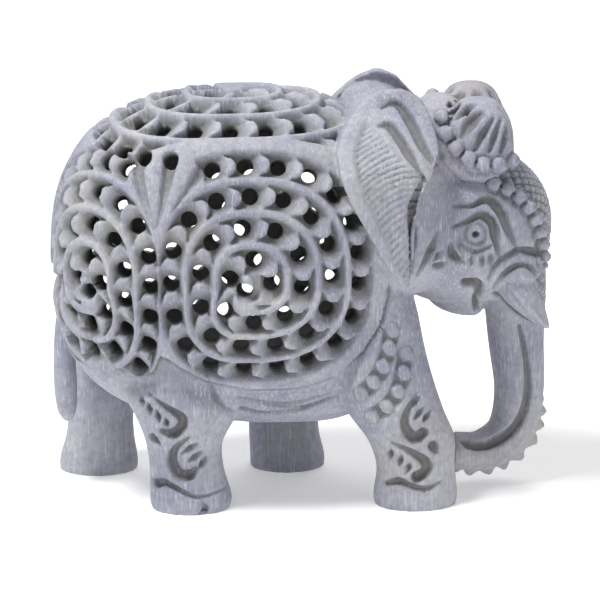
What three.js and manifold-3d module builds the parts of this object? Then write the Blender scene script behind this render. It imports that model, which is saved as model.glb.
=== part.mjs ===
// A walking elephant carved from one block of soapstone. Its body is hollowed out, and its flanks,
// back and rump are openwork: rings of drilled holes, each with a tongue of stone rising to the next.
// Millimetres, +Z up, +X the way the elephant faces. The origin is on the ground, under the middle
// of the elephant's bounding box.
import * as THREE from 'three';
import { mergeVertices } from 'three/addons/utils/BufferGeometryUtils.js';
import Module from 'manifold-3d';

const wasm = await Module();
wasm.setup();

// Driving dimensions of the figure. Its pose is drawn for DRAWN_LENGTH and grows with LENGTH.
const LENGTH = 125;
const DRAWN_LENGTH = 125;
const BODY_HALF_WIDTH = 31;
const BACK_HEIGHT = 103;
const BODY_MID_HEIGHT = 60;
const BELLY_HEIGHT = 19.5;
const WALL = 4.6;
const BELLY_FLOOR = 9;
const FOOT_HALF_WIDTH = 7.6;
const FOOT_SPACING = 16;
const EAR_THICKNESS = 6;
const EAR_TOP_LEAN = 18;
const TUSK_DIAMETER = 6.4;
const BEAD_DIAMETER = 3.2;

// Driving dimensions of the openwork.
const HOLE_DIAMETER = 4.1;
const HOLE_SIDES = 5;
const HOLE_PITCH = 9.5;
const INNER_RING_RADIUS = 5.2;
const RING_SPACING = 7.7;
const RAMP_DEPTH = 1.9;
const RAMP_HALF_WIDTH = 2.3;
const RAMP_SHARE_OF_PITCH = 0.82;
const DRILL_OVERRUN = 3;
const SKIN_STEP = 1;
const GOUGE_RISE = 0.3;

const grow = LENGTH / DRAWN_LENGTH;
const degrees = THREE.MathUtils.degToRad;

// Rounded blocks: half an ellipsoid's reach each way from a centre, with squarer shoulders as the
// power rises above 2.
const barrel = {
  centre: new THREE.Vector3(-14 * grow, 0, BODY_MID_HEIGHT),
  back: 48 * grow,
  front: 42 * grow,
  side: BODY_HALF_WIDTH,
  up: BACK_HEIGHT - BODY_MID_HEIGHT,
  down: BODY_MID_HEIGHT - BELLY_HEIGHT,
  power: 2.6,
};
const neck = {
  centre: new THREE.Vector3(21 * grow, 0, 68),
  back: 20 * grow,
  front: 20 * grow,
  side: 26,
  up: 32,
  down: 17,
  power: 2.3,
};
const skull = {
  centre: new THREE.Vector3(40 * grow, 0, 68),
  back: 22 * grow,
  front: 23 * grow,
  side: 20,
  up: 19.5,
  down: 20,
  power: 2.2,
};
const nape = {
  centre: new THREE.Vector3(34.5 * grow, 0, 88),
  back: 8 * grow,
  front: 8 * grow,
  side: 16,
  up: 14.5,
  down: 12,
  power: 2.4,
};

function reach(block, direction) {
  return new THREE.Vector3(
    direction.x > 0 ? block.front : block.back,
    block.side,
    direction.z > 0 ? block.up : block.down,
  );
}

// The point where a ray from the block's centre leaves its skin.
function skinPoint(block, direction) {
  const axes = reach(block, direction);
  const share = direction.clone().divide(axes);
  const sum =
    Math.abs(share.x) ** block.power + Math.abs(share.y) ** block.power + Math.abs(share.z) ** block.power;
  return direction.clone().multiplyScalar(sum ** (-1 / block.power)).add(block.centre);
}

function skinNormal(block, point) {
  const offset = point.clone().sub(block.centre);
  const axes = reach(block, offset);
  const slope = (length, axis) => (Math.sign(length) * Math.abs(length / axis) ** (block.power - 1)) / axis;
  return new THREE.Vector3(slope(offset.x, axes.x), slope(offset.y, axes.y), slope(offset.z, axes.z)).normalize();
}

// Walks a distance along the skin from a patch's centre, at an angle from the patch's right hand.
function walkSkin(patch, angle, distance) {
  const point = patch.middle.clone();
  let normal = skinNormal(patch.block, point);
  const up = patch.up.clone().projectOnPlane(normal).normalize();
  const right = up.clone().cross(normal);
  const heading = right.multiplyScalar(Math.cos(angle)).addScaledVector(up, Math.sin(angle));
  const steps = Math.max(1, Math.ceil(distance / SKIN_STEP));
  for (let step = 0; step < steps; step += 1) {
    point.addScaledVector(heading, distance / steps);
    point.copy(skinPoint(patch.block, point.clone().sub(patch.block.centre)));
    normal = skinNormal(patch.block, point);
    heading.projectOnPlane(normal).normalize();
  }
  return { point, normal };
}

// Lays a shape drawn flat, with x to the right, y up and z outwards, onto a patch of skin.
function wrap(geometry, patch) {
  const positions = geometry.attributes.position;
  for (let i = 0; i < positions.count; i += 1) {
    const x = positions.getX(i);
    const y = positions.getY(i);
    const { point, normal } = walkSkin(patch, Math.atan2(y, x), Math.hypot(x, y));
    point.addScaledVector(normal, positions.getZ(i));
    positions.setXYZ(i, point.x, point.y, point.z);
  }
  return geometry;
}

// A closed shape as a solid, with its faces turned outward if it was drawn mirrored.
function solid(geometry) {
  geometry.deleteAttribute('normal');
  geometry.deleteAttribute('uv');
  const merged = mergeVertices(geometry, 0.0001);
  const corners = new Uint32Array(merged.index.array);
  const build = () => new wasm.Manifold(new wasm.Mesh({
    numProp: 3,
    vertProperties: new Float32Array(merged.attributes.position.array),
    triVerts: corners,
  }));
  const first = build();
  if (first.volume() > 0) {
    return first;
  }
  for (let i = 0; i < corners.length; i += 3) {
    [corners[i], corners[i + 1]] = [corners[i + 1], corners[i]];
  }
  return build();
}

function bothSides(geometry) {
  return [solid(geometry.clone()), solid(geometry.clone().scale(1, -1, 1))];
}

function joined(solids) {
  return solids.reduce((whole, piece) => whole.add(piece));
}

function roundedBlock(block, around, upright) {
  const geometry = new THREE.SphereGeometry(1, around, upright);
  geometry.rotateX(Math.PI / 2);
  const positions = geometry.attributes.position;
  for (let i = 0; i < positions.count; i += 1) {
    const direction = new THREE.Vector3().fromBufferAttribute(positions, i);
    const axes = reach(block, direction);
    const point = skinPoint(block, direction.multiply(axes));
    positions.setXYZ(i, point.x, point.y, point.z);
  }
  return geometry;
}

// A limb through its stations: each has a centre, half a length along X (or across the limb's bend)
// and half a width along Y.
function limb(stations, sides, steps) {
  const spine = new THREE.CatmullRomCurve3(stations.map((s) => new THREE.Vector3(s.x * grow, s.y, s.z)));
  const geometry = new THREE.CylinderGeometry(1, 1, 1, sides, steps);
  const positions = geometry.attributes.position;
  const sideways = new THREE.Vector3(0, 1, 0);
  for (let i = 0; i < positions.count; i += 1) {
    const along = positions.getY(i) + 0.5;
    const place = along * (stations.length - 1);
    const lower = Math.min(Math.floor(place), stations.length - 2);
    const blend = place - lower;
    const half = THREE.MathUtils.lerp(stations[lower].half, stations[lower + 1].half, blend);
    const wide = THREE.MathUtils.lerp(stations[lower].wide, stations[lower + 1].wide, blend);
    const centre = spine.getPoint(along);
    const across = stations.upright ? new THREE.Vector3(1, 0, 0) : spine.getTangent(along).cross(sideways).negate();
    const point = centre
      .addScaledVector(across, positions.getX(i) * half)
      .addScaledVector(sideways, positions.getZ(i) * wide);
    positions.setXYZ(i, point.x, point.y, point.z);
  }
  return geometry;
}

// The body, neck and head

const body = joined([
  solid(roundedBlock(barrel, 16, 9)),
  solid(roundedBlock(neck, 14, 8)),
  solid(roundedBlock(skull, 14, 8)),
  solid(roundedBlock(nape, 8, 6)),
]);

// The hollow inside the barrel, one wall in from the skin, with a thicker floor of belly under it.
const hollow = solid(roundedBlock({
  ...barrel,
  back: barrel.back - WALL,
  front: barrel.front - WALL * 2,
  side: barrel.side - WALL,
  up: barrel.up - WALL,
  down: barrel.down - BELLY_FLOOR,
}, 8, 6));

// Legs, each stepping out of the barrel down to a flat foot

const nearLegY = -(FOOT_SPACING / 2 + FOOT_HALF_WIDTH);
const farLegY = -nearLegY;

function leg(y, stations) {
  const rows = stations.map(([x, z, half, spread]) => ({
    x, y: y * spread, z, half: half * grow, wide: FOOT_HALF_WIDTH * (0.4 + 0.6 * spread),
  }));
  rows.upright = true;
  return solid(limb(rows, 8, 6));
}

const legs = [
  leg(nearLegY, [
    [-28, 0, 9.6, 1], [-28, 3, 10.2, 1], [-29, 10, 9.2, 1], [-29.5, 17, 9.6, 1.05],
    [-29, 24, 12.6, 1.1], [-29, 31, 15.5, 1.1], [-28, 40, 16, 1.05], [-27, 52, 12, 0.9],
  ]),
  leg(nearLegY, [
    [28, 0, 10, 1], [28, 3, 10.5, 1], [28, 10, 9.8, 1], [26.5, 17, 10.9, 1.05],
    [23, 24, 12, 1.08], [20, 31, 12.4, 1.1], [17.5, 40, 12, 1.1], [16, 54, 11, 1],
  ]),
  leg(farLegY, [
    [-51, 0, 10, 1], [-51, 3, 10, 1], [-50.5, 10, 8.6, 1], [-50, 17, 8.6, 1],
    [-47, 24, 10.5, 1.05], [-43, 31, 13.5, 1.1], [-38, 40, 16, 1.1], [-34, 52, 14, 0.9],
  ]),
  leg(farLegY, [
    [-2.5, 0, 9.6, 1], [-2.5, 3, 9.6, 1], [-3.4, 10, 9, 1], [-3.2, 17, 9.2, 1],
    [-1, 24, 10.5, 1.05], [2, 31, 12.5, 1.1], [6, 40, 14, 1.1], [9, 54, 13, 1],
  ]),
];

// Trunk, hanging from the forehead and curling back to the near front leg

const trunk = solid(limb([
  { x: 52, y: 0, z: 66, half: 10, wide: 13 },
  { x: 54, y: 0, z: 52, half: 7.9, wide: 9.5 },
  { x: 54.6, y: 0, z: 36, half: 7, wide: 7.5 },
  { x: 55, y: 0, z: 22, half: 6.2, wide: 6.8 },
  { x: 51.5, y: 0, z: 11.5, half: 5.6, wide: 6.6 },
  { x: 44, y: -1, z: 8.6, half: 4.8, wide: 6.4 },
  { x: 37, y: -3, z: 10, half: 4.2, wide: 6 },
], 8, 12));

const tail = solid(limb([
  { x: -57, y: 0, z: 56, half: 3, wide: 3 },
  { x: -59.5, y: 0, z: 46, half: 2.6, wide: 3 },
  { x: -59.6, y: 0.5, z: 34, half: 2.4, wide: 2.8 },
  { x: -59, y: 1.5, z: 26, half: 3.2, wide: 3.4 },
  { x: -58.6, y: 3, z: 19, half: 2, wide: 2.4 },
], 6, 6));

// Ears: a leaf-shaped plate on each side, leaning in to the crown at its top

function earPlate() {
  const outline = new THREE.Shape();
  outline.moveTo(18.5 * grow, 105.5);
  outline.quadraticCurveTo(11 * grow, 100, 7.4 * grow, 93);
  outline.quadraticCurveTo(8 * grow, 83, 14 * grow, 74.5);
  outline.quadraticCurveTo(18 * grow, 66, 24.2 * grow, 58.8);
  outline.quadraticCurveTo(26.4 * grow, 68, 26.4 * grow, 80);
  outline.quadraticCurveTo(33.6 * grow, 87, 32.4 * grow, 94);
  outline.quadraticCurveTo(30 * grow, 103, 24.5 * grow, 105.5);
  const plate = new THREE.ExtrudeGeometry(outline, { depth: 1, steps: 1, bevelEnabled: false, curveSegments: 3 });
  const positions = plate.attributes.position;
  for (let i = 0; i < positions.count; i += 1) {
    const height = positions.getY(i);
    const lean = EAR_TOP_LEAN * THREE.MathUtils.smoothstep(height, 84, 106) ** 1.2;
    const outer = BODY_HALF_WIDTH - 0.4 - lean - 2 * THREE.MathUtils.smoothstep(positions.getX(i), 20 * grow, 34 * grow);
    positions.setXYZ(i, positions.getX(i), -(outer - EAR_THICKNESS * positions.getZ(i)), height);
  }
  return plate;
}

// Crown: a dome over each side of the forehead

const dome = {
  centre: new THREE.Vector3(43.2 * grow, -9.2, 87),
  back: 9.4 * grow,
  front: 8.8 * grow,
  side: 9.4,
  up: 14.8,
  down: 9,
  power: 2.6,
};

// Tusks, each out of a sleeve beside the mouth

const tusk = limb([
  { x: 47, y: -12.5, z: 55, half: TUSK_DIAMETER * 0.55, wide: TUSK_DIAMETER * 0.55 },
  { x: 52.5, y: -13.6, z: 52.5, half: TUSK_DIAMETER * 0.62, wide: TUSK_DIAMETER * 0.62 },
  { x: 56.5, y: -13.6, z: 49.5, half: TUSK_DIAMETER * 0.4, wide: TUSK_DIAMETER * 0.4 },
  { x: 60.6, y: -12.4, z: 43.5, half: TUSK_DIAMETER * 0.1, wide: TUSK_DIAMETER * 0.1 },
], 7, 5);

// How far out along Y the skin of the widest block stands at a place on the side view.
function skinAcross(x, z, blocks) {
  const widths = blocks.map((block) => {
    const offset = new THREE.Vector3(x, 0, z).sub(block.centre);
    const axes = reach(block, offset);
    const left = 1 - Math.abs(offset.x / axes.x) ** block.power - Math.abs(offset.z / axes.z) ** block.power;
    return left > 0 ? axes.y * left ** (1 / block.power) - block.centre.y : 0;
  });
  return Math.max(...widths);
}

// A string of beads laid over the head, from one side-view point to the next.
function beadString(points) {
  const curve = new THREE.CatmullRomCurve3(points.map(([x, z]) => new THREE.Vector3(x * grow, 0, z)));
  const count = Math.round(curve.getLength() / BEAD_DIAMETER);
  return curve.getSpacedPoints(count).map(({ x, z }) => {
    const out = skinAcross(x, z, [neck, skull, nape, dome]);
    return new THREE.OctahedronGeometry(BEAD_DIAMETER / 2, 0).translate(x, -out, z);
  });
}

const crownBeads = beadString([[32.5, 97.5], [34, 94], [37, 89], [42, 86], [51, 85.5]]);
const faceBeads = beadString([[47, 81.5], [54, 76.5], [57.6, 69.5], [59.4, 61]]);

// Openwork patches: a middle on the skin, and the direction that is up on the patch

function patchOn(block, offset, up) {
  return { block, middle: skinPoint(block, offset), up };
}

const upright = new THREE.Vector3(0, 0, 1);
const flank = patchOn(barrel, new THREE.Vector3(0.6 * grow, -barrel.side, 1.5), upright);
const rump = patchOn(barrel, new THREE.Vector3(-40 * grow, -21.3, 0.6), upright);
const saddle = patchOn(barrel, new THREE.Vector3(-2.5 * grow, 0, barrel.up), new THREE.Vector3(0, 1, 0));

// A gouge's cut, laid flat: it follows path(t) from t = 0 to 1, with half a width and a depth at each t.
function gouge(path, halfWidth, depth, steps) {
  const geometry = new THREE.CylinderGeometry(1, 1, 1, 4, steps);
  const positions = geometry.attributes.position;
  for (let i = 0; i < positions.count; i += 1) {
    const t = 0.5 - positions.getY(i);
    const before = path(Math.max(t - 0.01, 0));
    const after = path(Math.min(t + 0.01, 1));
    const across = after.clone().sub(before).normalize().rotateAround(new THREE.Vector2(), Math.PI / 2);
    const place = path(t).addScaledVector(across, positions.getX(i) * halfWidth(t));
    positions.setXYZ(i, place.x, place.y, positions.getZ(i) * depth(t) + GOUGE_RISE);
  }
  return geometry;
}

function polar(angle, radius) {
  return new THREE.Vector2(Math.cos(angle), Math.sin(angle)).multiplyScalar(radius);
}

// A straight drilled hole through the wall, square to the skin.
function drill(patch, place) {
  const length = WALL + DRILL_OVERRUN * 2;
  const geometry = new THREE.CylinderGeometry(HOLE_DIAMETER / 2, HOLE_DIAMETER / 2, length, HOLE_SIDES);
  const { point, normal } = walkSkin(patch, place.angle(), place.length());
  geometry.translate(0, -WALL / 2, 0);
  geometry.applyQuaternion(new THREE.Quaternion().setFromUnitVectors(new THREE.Vector3(0, 1, 0), normal));
  return geometry.translate(point.x, point.y, point.z);
}

// One cell of openwork: a drilled hole, and the hollow that runs clockwise from it and fades out
// under the tip of the next tongue.
function cell(patch, ring, angle, ramps) {
  if (!ramps) {
    return [drill(patch, ring.place(angle))];
  }
  const sweep = (HOLE_PITCH * RAMP_SHARE_OF_PITCH) / ring.radius;
  const path = (t) => ring.place(angle - sweep * t);
  const ramp = gouge(path, (t) => RAMP_HALF_WIDTH * (1 - t), (t) => RAMP_DEPTH * (1 - t), 1);
  return [drill(patch, ring.place(angle)), wrap(ramp, patch)];
}

// Rings of cells about a patch's middle, each as wide apart as the ring spacing, kept inside an outline.
function openwork(patch, { firstAngles, stretch, inside, ramps }) {
  const cuts = [];
  firstAngles.forEach((firstAngle, index) => {
    const radius = INNER_RING_RADIUS + index * RING_SPACING;
    const count = Math.round((2 * Math.PI * radius) / HOLE_PITCH);
    const ring = { radius, place: (angle) => stretch(polar(angle, radius)) };
    for (let i = 0; i < count; i += 1) {
      const angle = degrees(firstAngle) - (i * 2 * Math.PI) / count;
      if (inside(ring.place(angle), angle)) {
        cuts.push(...cell(patch, ring, angle, ramps));
      }
    }
  });
  return cuts;
}

// Stretches a place on a round ring to a squarer one, with its own heights above and below its middle.
function squared(place, above, below, power) {
  const length = place.length();
  const tall = place.y > 0 ? above : below;
  const sum = Math.abs(place.x / length) ** power + Math.abs(place.y / (length * tall)) ** power;
  return place.clone().multiplyScalar(sum ** (-1 / power));
}

const flankCuts = openwork(flank, {
  firstAngles: [133, 154, 136, 124],
  stretch: (place) => squared(place, 1.03, 0.84, 2.4),
  inside: (place, angle) => place.length() < 27 || angle > degrees(-110),
  ramps: true,
});
const rumpCuts = openwork(rump, {
  firstAngles: [120, 100, 90],
  stretch: (place) => new THREE.Vector2(place.x * 0.85, place.y * 1.2),
  inside: (place) => place.x > -15 && place.length() < 24.5,
  ramps: false,
});
const saddleCuts = openwork(saddle, {
  firstAngles: [90, 80, 90, 82],
  stretch: (place) => place,
  inside: (place) => Math.abs(place.y) < 16.5 && place.x < 24 * grow,
  ramps: false,
});

const sideForms = [earPlate(), roundedBlock(dome, 9, 6), tusk, ...crownBeads, ...faceBeads];
const sideCuts = [...flankCuts, ...rumpCuts];
const cuts = joined([hollow, ...sideCuts.flatMap(bothSides), ...saddleCuts.map(solid)]);
const carving = joined([body, ...legs, trunk, tail, ...sideForms.flatMap(bothSides)]).subtract(cuts);

const material = new THREE.MeshStandardMaterial({ color: 0xaaacb6, roughness: 0.62, metalness: 0 });

function meshOf(manifold, name) {
  const { vertProperties, triVerts } = manifold.getMesh();
  const geometry = new THREE.BufferGeometry();
  geometry.setAttribute('position', new THREE.BufferAttribute(vertProperties, 3));
  geometry.setIndex(new THREE.BufferAttribute(triVerts, 1));
  geometry.computeBoundingBox();
  const middle = geometry.boundingBox.getCenter(new THREE.Vector3());
  geometry.translate(-middle.x, -middle.y, -geometry.boundingBox.min.z);
  const mesh = new THREE.Mesh(geometry, material);
  mesh.name = name;
  return mesh;
}

const elephant = new THREE.Group();
elephant.add(meshOf(carving, 'elephant'));

export default elephant;
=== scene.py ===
import math

import bmesh
import bpy
import numpy as np
from mathutils import Matrix, Vector
from mathutils.kdtree import KDTree


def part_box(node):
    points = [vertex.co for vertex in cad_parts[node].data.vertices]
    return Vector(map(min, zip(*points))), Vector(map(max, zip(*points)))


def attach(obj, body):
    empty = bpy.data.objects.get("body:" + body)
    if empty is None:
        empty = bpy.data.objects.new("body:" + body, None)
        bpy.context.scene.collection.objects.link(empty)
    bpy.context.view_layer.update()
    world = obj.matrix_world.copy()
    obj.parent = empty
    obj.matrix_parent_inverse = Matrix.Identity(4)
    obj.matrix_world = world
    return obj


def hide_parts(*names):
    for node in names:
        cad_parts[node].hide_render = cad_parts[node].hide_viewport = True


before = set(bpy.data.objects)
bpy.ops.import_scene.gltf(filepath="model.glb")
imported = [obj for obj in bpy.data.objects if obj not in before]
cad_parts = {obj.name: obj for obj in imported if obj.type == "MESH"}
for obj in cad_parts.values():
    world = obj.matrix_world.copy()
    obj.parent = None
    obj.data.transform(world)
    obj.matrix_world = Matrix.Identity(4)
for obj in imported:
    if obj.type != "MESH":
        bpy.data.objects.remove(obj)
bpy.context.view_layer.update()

# A walking elephant carved from one block of soapstone, hollowed out and pierced. Its forms are
# fused into one mesh, the carving moves that mesh's skin in and out, and the drills go through last.
# All sizes are millimetres until the finished mesh goes into the frame. The pose is drawn with its
# rearmost point at DRAWN_BACK, and shift moves it to where the frame has that point.
MM_PER_METRE = 1000
MM = 0.001
low, high = (np.array(corner) * MM_PER_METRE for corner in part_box("elephant"))
DRAWN_BACK = -62.0
SIDE_GAP = 0.15
shift = low[0] - DRAWN_BACK
half_width = high[1] - SIDE_GAP

VOXEL = 0.45
WALL = 4.6
BELLY_FLOOR = 9
HOLE_DIAMETER = 4.1
HOLE_SIDES = 20
DRILL_LENGTH = WALL + 6
RELIEF = 2.8
BOX_GAP = 0.05


# Rounded blocks

class Block:
    """An ellipsoid with its own reach each way from a centre, squarer as the power rises."""

    def __init__(self, centre, back, front, side, up, down, power):
        self.centre = np.array(centre, float)
        self.ends = (back, front, side, up, down)
        self.power = power

    def axes(self, offset):
        back, front, side, up, down = self.ends
        along = np.where(offset[:, 0] > 0, front, back)
        return np.stack([along, np.full(len(offset), side), np.where(offset[:, 2] > 0, up, down)], axis=1)

    def size(self, offset):
        """1 on the skin, less inside."""
        return (np.abs(offset / self.axes(offset)) ** self.power).sum(axis=1) ** (1 / self.power)

    def skin(self, offset):
        return self.centre + offset / self.size(offset)[:, None]

    def normal(self, points):
        offset = points - self.centre
        axes = self.axes(offset)
        slope = np.sign(offset) * np.abs(offset / axes) ** (self.power - 1) / axes
        return slope / np.linalg.norm(slope, axis=1)[:, None]

    def reach_across(self, x, z):
        """How far the skin stands from the centre along Y at a place on the side view."""
        offset = np.array([[x, 0, z]]) - self.centre * (1, 0, 1)
        along, across, upright = self.axes(offset)[0]
        left = 1 - abs(offset[0, 0] / along) ** self.power - abs(offset[0, 2] / upright) ** self.power
        return across * left ** (1 / self.power) if left > 0 else -math.inf


def pair(centre, **reaches):
    """The same block on the near and on the far side."""
    x, y, z = centre
    return [Block((x, side * y, z), **reaches) for side in (-1, 1)]


barrel = Block((-14, 0, 60), back=48, front=42, side=half_width, up=43, down=40.5, power=2.6)
neck = Block((21, 0, 68), back=20, front=20, side=25.5, up=32, down=17, power=2.3)
skull = Block((40, 0, 68), back=22, front=22.6, side=20, up=19.5, down=20, power=2.2)
nape = Block((34.5, 0, 88), back=8, front=8, side=16, up=12.4, down=12, power=2.4)
lip = Block((43, 0, 51.4), back=12, front=4.2, side=9, up=7, down=7.2, power=2.0)
domes = pair((43.2, 9.2, 89), back=9.2, front=8.6, side=9.2, up=12.8, down=7, power=2.5)
ear_roots = pair((18.8, 11, 92), back=10, front=9, side=6.2, up=9.5, down=14, power=2.2)
chest = Block((14, 0, 46), back=14, front=14.2, side=23, up=20, down=22, power=2.3)
belly = Block((-4, 0, 38), back=27, front=24, side=21.5, up=14, down=18.6, power=3.2)
hoods = pair((52, 11.4, 59.4), back=7.4, front=7.2, side=6.2, up=5.4, down=3.8, power=2.4)


def smooth(low_edge, high_edge, value):
    """0 below the low edge and 1 above the high edge, with an eased rise between them."""
    t = np.clip((value - low_edge) / (high_edge - low_edge), 0, 1)
    return t * t * (3 - 2 * t)


# Base forms, each shaped from one of the operators' own solids

def vertex_places(bm):
    return np.array([vertex.co[:] for vertex in bm.verts])


def place_vertices(bm, places):
    for vertex, place in zip(bm.verts, places):
        vertex.co = place


def add_block(whole, block, rows=40):
    bm = bmesh.new()
    bmesh.ops.create_uvsphere(bm, u_segments=rows * 2, v_segments=rows, radius=1)
    unit = vertex_places(bm)
    place_vertices(bm, block.skin(unit * block.axes(unit)))
    add_to(whole, bm)


def add_to(whole, bm):
    bmesh.ops.recalc_face_normals(bm, faces=bm.faces)
    mesh = bpy.data.meshes.new("form")
    bm.to_mesh(mesh)
    bm.free()
    whole.from_mesh(mesh)
    bpy.data.meshes.remove(mesh)


def curve_through(stations, t):
    """Catmull-Rom values through rows of numbers, at shares t of the way from the first to the last."""
    rows = np.array(stations, float)
    rows = np.vstack([2 * rows[0] - rows[1], rows, 2 * rows[-1] - rows[-2]])
    place = np.clip(t, 0, 1) * (len(stations) - 1)
    first = np.minimum(place.astype(int), len(stations) - 2)
    f = (place - first)[:, None]
    a, b, c, d = (rows[first + k] for k in range(4))
    squared = 2 * a - 5 * b + 4 * c - d
    cubed = 3 * b - a - 3 * c + d
    return 0.5 * (2 * b + (c - a) * f + squared * f ** 2 + cubed * f ** 3)


def walked_along(line):
    """The distance walked from a line's first point to each of its points."""
    return np.concatenate([[0], np.cumsum(np.linalg.norm(np.diff(line, axis=0), axis=1))])


SPINE_STEP = 0.01


def add_limb(whole, stations, level_rings, sides=28, rings=36):
    """A limb through stations (x, y, z, half across, half wide), its rings level or square to its bend."""
    bm = bmesh.new()
    bmesh.ops.create_cone(bm, cap_ends=True, segments=sides, radius1=1, radius2=1, depth=1)
    upright = [e for e in bm.edges if abs(e.verts[0].co.z - e.verts[1].co.z) > 0.5]
    bmesh.ops.subdivide_edges(bm, edges=upright, cuts=rings, use_grid_fill=True)
    unit = vertex_places(bm)
    t = unit[:, 2] + 0.5
    rows = curve_through(stations, t)
    centre, across_half, wide = rows[:, :3], rows[:, 3], rows[:, 4]
    if level_rings:
        across = np.tile((1.0, 0.0, 0.0), (len(t), 1))
    else:
        tangent = curve_through(stations, t + SPINE_STEP) - curve_through(stations, t - SPINE_STEP)
        across = np.cross(tangent[:, :3], (0.0, 1.0, 0.0))
        across /= np.linalg.norm(across, axis=1)[:, None]
    places = centre + across * (unit[:, 0] * across_half)[:, None]
    places[:, 1] += unit[:, 1] * wide
    place_vertices(bm, places)
    add_to(whole, bm)


# Legs, from the foot up: side, then stations (x, z, half along X, share of the foot's place and width)
FOOT_Y = 15.6
FOOT_HALF_WIDTH = 7.6
LEGS = {
    "near hind": (-1, [(-28, 0, 9.8, 1), (-28, 3, 10.2, 1), (-28.9, 10, 9.2, 1), (-29.5, 17, 9.5, 1.03),
                       (-29, 24, 12.4, 1.08), (-29, 31, 15.5, 1.1), (-28, 40, 16, 1.05),
                       (-27, 52, 12, 0.9)]),
    "near front": (-1, [(28, 0, 10.2, 1), (28, 3, 10.5, 1), (28, 10, 9.8, 1), (26.8, 17, 10.9, 1.03),
                        (23, 24, 12, 1.06), (20, 31, 12.6, 1.08), (17.5, 40, 12.6, 1.1), (16, 52, 11.6, 1),
                        (15, 66, 8.5, 0.8)]),
    "far hind": (1, [(-51, 0, 10, 1), (-51, 3, 10, 1), (-50.5, 10, 8.6, 1), (-50, 17, 8.6, 1),
                     (-47, 24, 10.5, 1.05), (-43, 31, 13.5, 1.1), (-38, 40, 16, 1.1), (-34, 52, 14, 0.9)]),
    "far front": (1, [(-2.5, 0, 9.6, 1), (-2.5, 3, 9.6, 1), (-3.4, 10, 9, 1), (-3.2, 17, 9.2, 1),
                      (-1, 24, 10.5, 1.05), (2, 31, 12.5, 1.1), (6, 40, 14, 1.1), (9, 54, 13, 1)]),
}

# Trunk, tail and near tusk, from the root to the tip: stations (x, y, z, half across, half wide)
TRUNK = [(51, 0, 66, 10, 13), (53.6, 0, 52, 8.2, 9.6), (54.4, 0, 38, 7.1, 7.6), (55.4, 0, 24, 6.3, 6.9),
         (53.2, -0.3, 13.2, 5.9, 6.7), (46, -1.2, 8.6, 5.0, 6.5), (38.4, -3, 9.4, 4.4, 6.2)]
TAIL = [(-54.5, 0, 60, 3.0, 3.4), (-57.4, 0, 50, 2.6, 3.2), (-58.8, 0.3, 41, 2.6, 3.2),
        (-59, 0.8, 33, 2.8, 3.6), (-58.9, 1.6, 26, 2.9, 3.7), (-58.7, 2.4, 20, 2.4, 2.9),
        (-58.6, 3, 17, 1, 1.4)]
TUSK = [(50.6, 12.4, 58, 4.2, 3.6), (53, 13, 54.4, 4.3, 3.9), (55.8, 13.6, 50.8, 3.5, 3.5),
        (58.6, 13.2, 47, 2.1, 2.2), (61, 12.4, 43.8, 0.5, 0.5)]

# Ears: a plate between a rear and a front edge, cupped, and leaning in to the crown at its top
EAR_BOTTOM = 58.8
EAR_TOP = 104.6
EAR_THICKNESS = 6.5
EAR_TOP_THINNER = 3
EAR_INSET = 0.6
EAR_LEAN = 16.6
EAR_CUP = 1.6
EAR_FRONT_TURN = 2.6
FAR_EAR_NARROWER = 3.4
EAR_EDGES = [
    (EAR_BOTTOM, 23.8, 24.8), (63.7, 19.9, 25.6), (66, 18.6, 26), (72, 15.4, 26.2), (80, 10.9, 26.8),
    (86, 8.4, 30.2), (92, 7.4, 32.4), (96, 9, 31.6), (98.4, 10.8, 30.8), (102, 13.8, 29),
    (103.8, 16.8, 26.8), (EAR_TOP, 19, 24),
]


def ear_edges(z):
    """The rear and front edges of the ear at a height, in x."""
    heights, rear, front = zip(*EAR_EDGES)
    return np.interp(z, heights, rear), np.interp(z, heights, front)


def ear_outer(x, z):
    """How far out along Y the ear's face stands."""
    lean = EAR_LEAN * smooth(84, 106, z) ** 1.2
    cup = EAR_CUP * smooth(10, 22, x) * (1 - smooth(84, 98, z))
    return half_width - EAR_INSET - lean - cup - EAR_FRONT_TURN * smooth(22, 34, x)


def add_ear(whole, side):
    bm = bmesh.new()
    bmesh.ops.create_cube(bm, size=1)
    bmesh.ops.subdivide_edges(bm, edges=bm.edges, cuts=24, use_grid_fill=True)
    unit = vertex_places(bm) + 0.5
    z = EAR_BOTTOM + (EAR_TOP - EAR_BOTTOM) * unit[:, 2]
    rear, front = ear_edges(z)
    if side > 0:
        front = front - FAR_EAR_NARROWER * smooth(92, 102, z)
    x = rear + (front - rear) * unit[:, 0]
    thickness = EAR_THICKNESS - EAR_TOP_THINNER * smooth(92, 103, z)
    y = ear_outer(x, z) - (1 - unit[:, 1]) * thickness
    place_vertices(bm, np.stack([x, side * y, z], axis=1))
    add_to(whole, bm)


BEAD_RADIUS = 1.75
BEAD_PITCH = BEAD_RADIUS * 2.1
BEAD_STRINGS = [
    [(33.8, 97.6), (34.8, 94), (37.6, 90.4), (41.6, 87.8), (46.4, 87), (51, 87.2)],
    [(46.6, 81.4), (50.6, 79.6), (54.6, 76), (57.6, 70.5), (59.4, 64), (59.8, 58)],
]


def bead_places(points):
    """Side-view places of a string's beads, a pitch apart along a curve through its points."""
    dense = curve_through(points, np.linspace(0, 1, 200))
    walked = walked_along(dense)
    count = int(round(walked[-1] / BEAD_PITCH)) + 1
    at = np.linspace(0, walked[-1], count)
    return np.stack([np.interp(at, walked, dense[:, 0]), np.interp(at, walked, dense[:, 1])], axis=1)


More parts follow.
